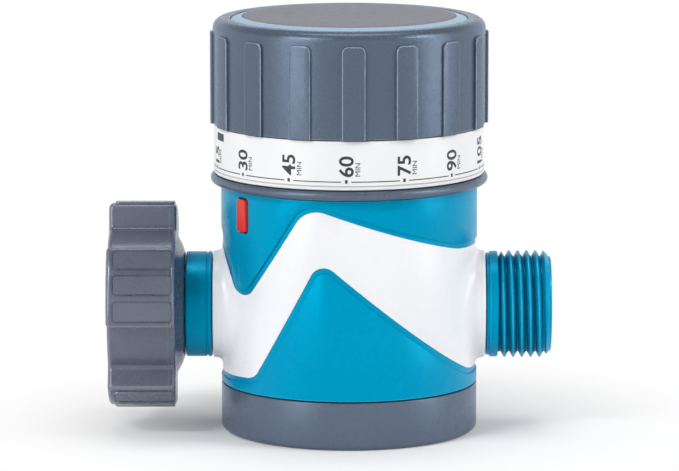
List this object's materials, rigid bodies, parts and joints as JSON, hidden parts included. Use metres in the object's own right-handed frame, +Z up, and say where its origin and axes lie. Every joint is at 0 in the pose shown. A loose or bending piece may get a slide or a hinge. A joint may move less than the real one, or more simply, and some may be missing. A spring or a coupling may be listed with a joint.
{
  "type": "drip irrigation timer",
  "caption": "Round wind-up tap timer for drip irrigation: turning dial over a through water pipe with a cam-worked valve, a lobed swivel hose nut and a threaded outlet.",
  "frame": {"origin": "centre of the flat underside of the base, on the axis of the dial", "axes": "+Z up along the dial axis, +X towards the threaded outlet, -Y towards the front where the pointer and the scale are read"},
  "size_m": [0.1118, 0.0698, 0.1047],
  "materials": {
    "housing_teal": "satin moulded plastic",
    "trim_white": "satin moulded plastic",
    "casing_grey": "fine satin moulded plastic",
    "dial_white": "satin moulded plastic with printed scale",
    "pointer_red": "satin moulded plastic",
    "ring_blue": "satin moulded plastic",
    "seal_rubber": "matt rubber",
    "steel": "plain stainless steel",
    "brass": "plain brass",
    "natural_plastic": "unpigmented acetal"
  },
  "bodies": {
    "casing": {"housing": "housing_teal", "front_band": "trim_white", "rear_band": "trim_white", "base_cap": "casing_grey", "base_seal": "seal_rubber", "bezel_ring": "casing_grey", "pointer": "pointer_red", "base_screw_1": "steel", "base_screw_2": "steel", "base_screw_3": "steel", "bezel_screw_1": "steel", "bezel_screw_2": "steel", "bezel_screw_3": "steel", "nut_clip": "steel", "hose_washer": "seal_rubber", "inlet_screen": "natural_plastic", "seat_ring": "brass", "chamber_plug": "natural_plastic", "plug_seal": "seal_rubber", "bonnet": "natural_plastic", "bonnet_seal": "seal_rubber", "stem_seal": "seal_rubber", "bonnet_screw_1": "steel", "bonnet_screw_2": "steel", "valve_spring": "steel", "lower_plate": "brass", "upper_plate": "brass", "pillar_1": "steel", "pillar_2": "steel", "pillar_3": "steel", "mainspring": "steel"},
    "dial": {"knob": "casing_grey", "dial_ring": "dial_white", "knob_disc": "casing_grey", "accent_ring": "ring_blue", "knob_screw": "steel", "arbor": "steel", "cam": "natural_plastic", "main_wheel": "brass"},
    "nut": {"swivel_nut": "casing_grey"},
    "valve": {"valve_stem": "natural_plastic", "valve_disc": "seal_rubber", "disc_nut": "brass"},
    "second": {"second_wheel": "brass"},
    "third": {"third_wheel": "brass"},
    "escape": {"escape_wheel": "brass"},
    "anchor": {"pallet": "steel"}
  },
  "joints": [
    {"name": "dial_turn", "type": "hinge", "parent": "casing", "child": "dial", "pos_m": [0, 0, 0.09], "axis": [0, 0, 1], "range_deg": [-155, 45]},
    {"name": "nut_swivel", "type": "hinge", "parent": "casing", "child": "nut", "pos_m": [-0.05, 0, 0.0314], "axis": [1, 0, 0], "continuous": true},
    {"name": "valve_lift", "type": "slide", "parent": "casing", "child": "valve", "axis": [0, 0, 1], "range_m": [-0.0039, 0.00115], "deforming": ["valve_spring"]},
    {"name": "second_spin", "type": "hinge", "parent": "casing", "child": "second", "pos_m": [0.00725, -0.01256, 0.06], "axis": [0, 0, 1], "range_deg": [-216.5, 744.5]},
    {"name": "third_spin", "type": "hinge", "parent": "casing", "child": "third", "pos_m": [0.01365, -0.00488, 0.06], "axis": [0, 0, 1], "range_deg": [-2977, 865]},
    {"name": "escape_spin", "type": "hinge", "parent": "casing", "child": "escape", "pos_m": [0.01357, 0.00512, 0.06], "axis": [0, 0, 1], "range_deg": [-3457, 11905]},
    {"name": "pallet_beat", "type": "hinge", "parent": "casing", "child": "anchor", "pos_m": [0.00878, 0.01154, 0.06], "axis": [0, 0, 1], "range_deg": [-5, 5]}
  ],
  "couplings": [
    {"joint": "valve_lift", "follows": "dial_turn", "m_per_rad": 0.0014324},
    {"joint": "second_spin", "follows": "dial_turn", "ratio": -4.8},
    {"joint": "third_spin", "follows": "dial_turn", "ratio": 19.2},
    {"joint": "escape_spin", "follows": "dial_turn", "ratio": -76.8}
  ]
}
